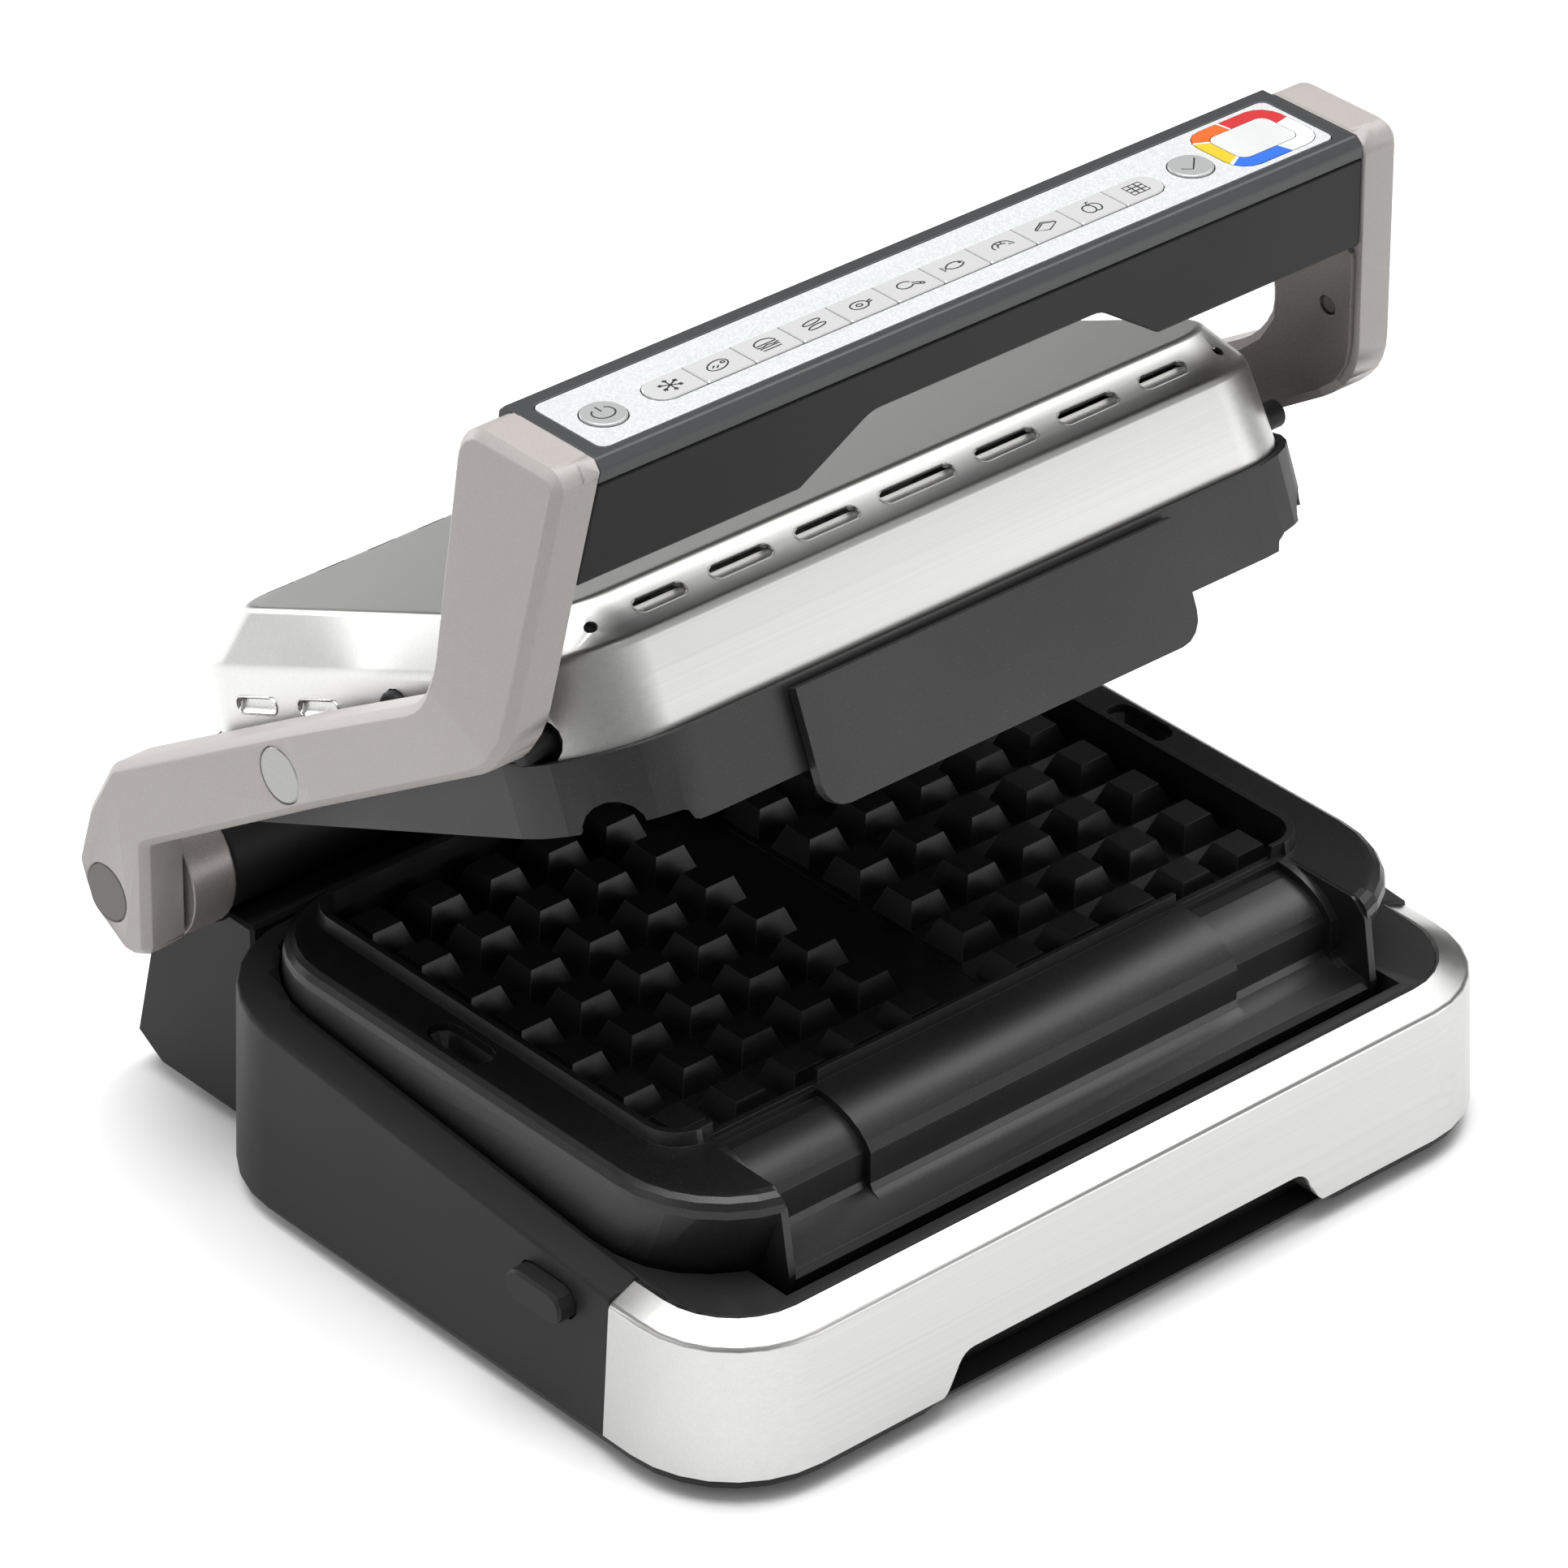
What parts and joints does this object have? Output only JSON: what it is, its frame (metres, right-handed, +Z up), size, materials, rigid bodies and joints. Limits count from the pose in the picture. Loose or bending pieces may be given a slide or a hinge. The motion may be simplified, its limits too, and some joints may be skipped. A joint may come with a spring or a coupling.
{
  "type": "waffle maker",
  "caption": "Contact waffle maker with a removable grid plate in its base, a floating steel lid on an arm frame, and a handle with a control panel.",
  "frame": {"origin": "middle of the bounding box at table height, with the machine half open", "axes": "+X to the machine's right as seen from behind the handle side, that is towards the display; +Y from the handle side to the hinge; +Z up"},
  "size_m": [0.3664, 0.3188, 0.3327],
  "materials": {
    "brushed_steel": "brushed, fine grain",
    "plain_steel": "plain",
    "black_plastic": "satin",
    "non_stick": "non-stick coating, fine sparkle",
    "taupe_plastic": "satin",
    "taupe_metallic": "metallic satin",
    "silver_panel": "speckled silver",
    "key_silver": "satin silver",
    "display_ring": "printed colour segments",
    "display_lens": "clear over white",
    "rubber": "matte",
    "heater_rod": "dull",
    "aluminised_sheet": "bright",
    "circuit_board": "solder mask"
  },
  "bodies": {
    "base": {"base_housing": "black_plastic", "front_trim": "brushed_steel", "rear_housing": "black_plastic", "hinge_barrel": "black_plastic", "hinge_shaft": "plain_steel", "cord_gland": "rubber", "base_pan": "black_plastic", "foot_front_left": "rubber", "foot_front_right": "rubber", "foot_back_left": "rubber", "foot_back_right": "rubber", "lower_heater": "heater_rod", "lower_reflector": "aluminised_sheet", "power_board": "circuit_board", "lower_plate": "non_stick"},
    "arm_frame": {"arm_left": "taupe_plastic", "arm_cover_left": "taupe_metallic", "cover_screw_left": "plain_steel", "hub_left": "taupe_metallic", "hub_cap_left": "taupe_metallic", "pivot_cap_left": "brushed_steel", "pivot_pin_left": "plain_steel", "arm_right": "taupe_plastic", "arm_cover_right": "taupe_metallic", "cover_screw_right": "plain_steel", "hub_right": "taupe_metallic", "hub_cap_right": "taupe_metallic", "pivot_cap_right": "brushed_steel", "pivot_pin_right": "plain_steel", "handle_top": "black_plastic", "handle_bottom": "black_plastic", "control_panel": "silver_panel", "display_ring": "display_ring", "display_lens": "display_lens", "control_board": "circuit_board"},
    "lid": {"lid_shell": "brushed_steel", "upper_plate": "non_stick", "upper_reflector": "aluminised_sheet", "upper_heater": "heater_rod", "guide_pin_left": "black_plastic", "guide_pin_right": "black_plastic", "pivot_block_left": "heater_rod", "pivot_block_right": "heater_rod"},
    "key_01": {"key_01": "key_silver"},
    "key_02": {"key_02": "key_silver"},
    "key_03": {"key_03": "key_silver"},
    "key_04": {"key_04": "key_silver"},
    "key_05": {"key_05": "key_silver"},
    "key_06": {"key_06": "key_silver"},
    "key_07": {"key_07": "key_silver"},
    "key_08": {"key_08": "key_silver"},
    "key_09": {"key_09": "key_silver"},
    "key_10": {"key_10": "key_silver"},
    "key_11": {"key_11": "key_silver"},
    "power_button": {"power_button": "key_silver"},
    "ok_button": {"ok_button": "key_silver"},
    "release_button_left": {"release_button_left": "black_plastic"},
    "release_button_right": {"release_button_right": "black_plastic"},
    "lid_release_left": {"lid_release_left": "black_plastic"},
    "lid_release_right": {"lid_release_right": "black_plastic"}
  },
  "joints": [
    {"name": "arm_hinge", "type": "hinge", "parent": "base", "child": "arm_frame", "pos_m": [0, 0.1321, 0.0903], "axis": [1, 0, 0], "range_deg": [-58, 31.6]},
    {"name": "lid_float", "type": "hinge", "parent": "arm_frame", "child": "lid", "pos_m": [0, 0.0419, 0.17632], "axis": [1, 0, 0], "range_deg": [-8.5, 15.5]},
    {"name": "release_press_left", "type": "slide", "parent": "base", "child": "release_button_left", "axis": [1, 0, 0], "range_m": [0, 0.003], "stiffness_N_per_m": 500, "springref_m": -0.001},
    {"name": "lid_release_press_left", "type": "slide", "parent": "lid", "child": "lid_release_left", "axis": [1, 0, 0], "range_m": [0, 0.0025], "stiffness_N_per_m": 500, "springref_m": -0.001},
    {"name": "release_press_right", "type": "slide", "parent": "base", "child": "release_button_right", "axis": [-1, 0, 0], "range_m": [0, 0.003], "stiffness_N_per_m": 500, "springref_m": -0.001},
    {"name": "lid_release_press_right", "type": "slide", "parent": "lid", "child": "lid_release_right", "axis": [-1, 0, 0], "range_m": [0, 0.0025], "stiffness_N_per_m": 500, "springref_m": -0.001},
    {"name": "key_01_press", "type": "slide", "parent": "arm_frame", "child": "key_01", "axis": [0, 0, -1], "range_m": [0, 0.0008], "stiffness_N_per_m": 400, "springref_m": -0.0005},
    {"name": "key_02_press", "type": "slide", "parent": "arm_frame", "child": "key_02", "axis": [0, 0, -1], "range_m": [0, 0.0008], "stiffness_N_per_m": 400, "springref_m": -0.0005},
    {"name": "key_03_press", "type": "slide", "parent": "arm_frame", "child": "key_03", "axis": [0, 0, -1], "range_m": [0, 0.0008], "stiffness_N_per_m": 400, "springref_m": -0.0005},
    {"name": "key_04_press", "type": "slide", "parent": "arm_frame", "child": "key_04", "axis": [0, 0, -1], "range_m": [0, 0.0008], "stiffness_N_per_m": 400, "springref_m": -0.0005},
    {"name": "key_05_press", "type": "slide", "parent": "arm_frame", "child": "key_05", "axis": [0, 0, -1], "range_m": [0, 0.0008], "stiffness_N_per_m": 400, "springref_m": -0.0005},
    {"name": "key_06_press", "type": "slide", "parent": "arm_frame", "child": "key_06", "axis": [0, 0, -1], "range_m": [0, 0.0008], "stiffness_N_per_m": 400, "springref_m": -0.0005},
    {"name": "key_07_press", "type": "slide", "parent": "arm_frame", "child": "key_07", "axis": [0, 0, -1], "range_m": [0, 0.0008], "stiffness_N_per_m": 400, "springref_m": -0.0005},
    {"name": "key_08_press", "type": "slide", "parent": "arm_frame", "child": "key_08", "axis": [0, 0, -1], "range_m": [0, 0.0008], "stiffness_N_per_m": 400, "springref_m": -0.0005},
    {"name": "key_09_press", "type": "slide", "parent": "arm_frame", "child": "key_09", "axis": [0, 0, -1], "range_m": [0, 0.0008], "stiffness_N_per_m": 400, "springref_m": -0.0005},
    {"name": "key_10_press", "type": "slide", "parent": "arm_frame", "child": "key_10", "axis": [0, 0, -1], "range_m": [0, 0.0008], "stiffness_N_per_m": 400, "springref_m": -0.0005},
    {"name": "key_11_press", "type": "slide", "parent": "arm_frame", "child": "key_11", "axis": [0, 0, -1], "range_m": [0, 0.0008], "stiffness_N_per_m": 400, "springref_m": -0.0005},
    {"name": "power_button_press", "type": "slide", "parent": "arm_frame", "child": "power_button", "axis": [0, 0, -1], "range_m": [0, 0.0008], "stiffness_N_per_m": 400, "springref_m": -0.0005},
    {"name": "ok_button_press", "type": "slide", "parent": "arm_frame", "child": "ok_button", "axis": [0, 0, -1], "range_m": [0, 0.0008], "stiffness_N_per_m": 400, "springref_m": -0.0005}
  ],
  "couplings": [
    {"joint": "lid_float", "follows": "arm_hinge", "ratio": -0.26582}
  ]
}
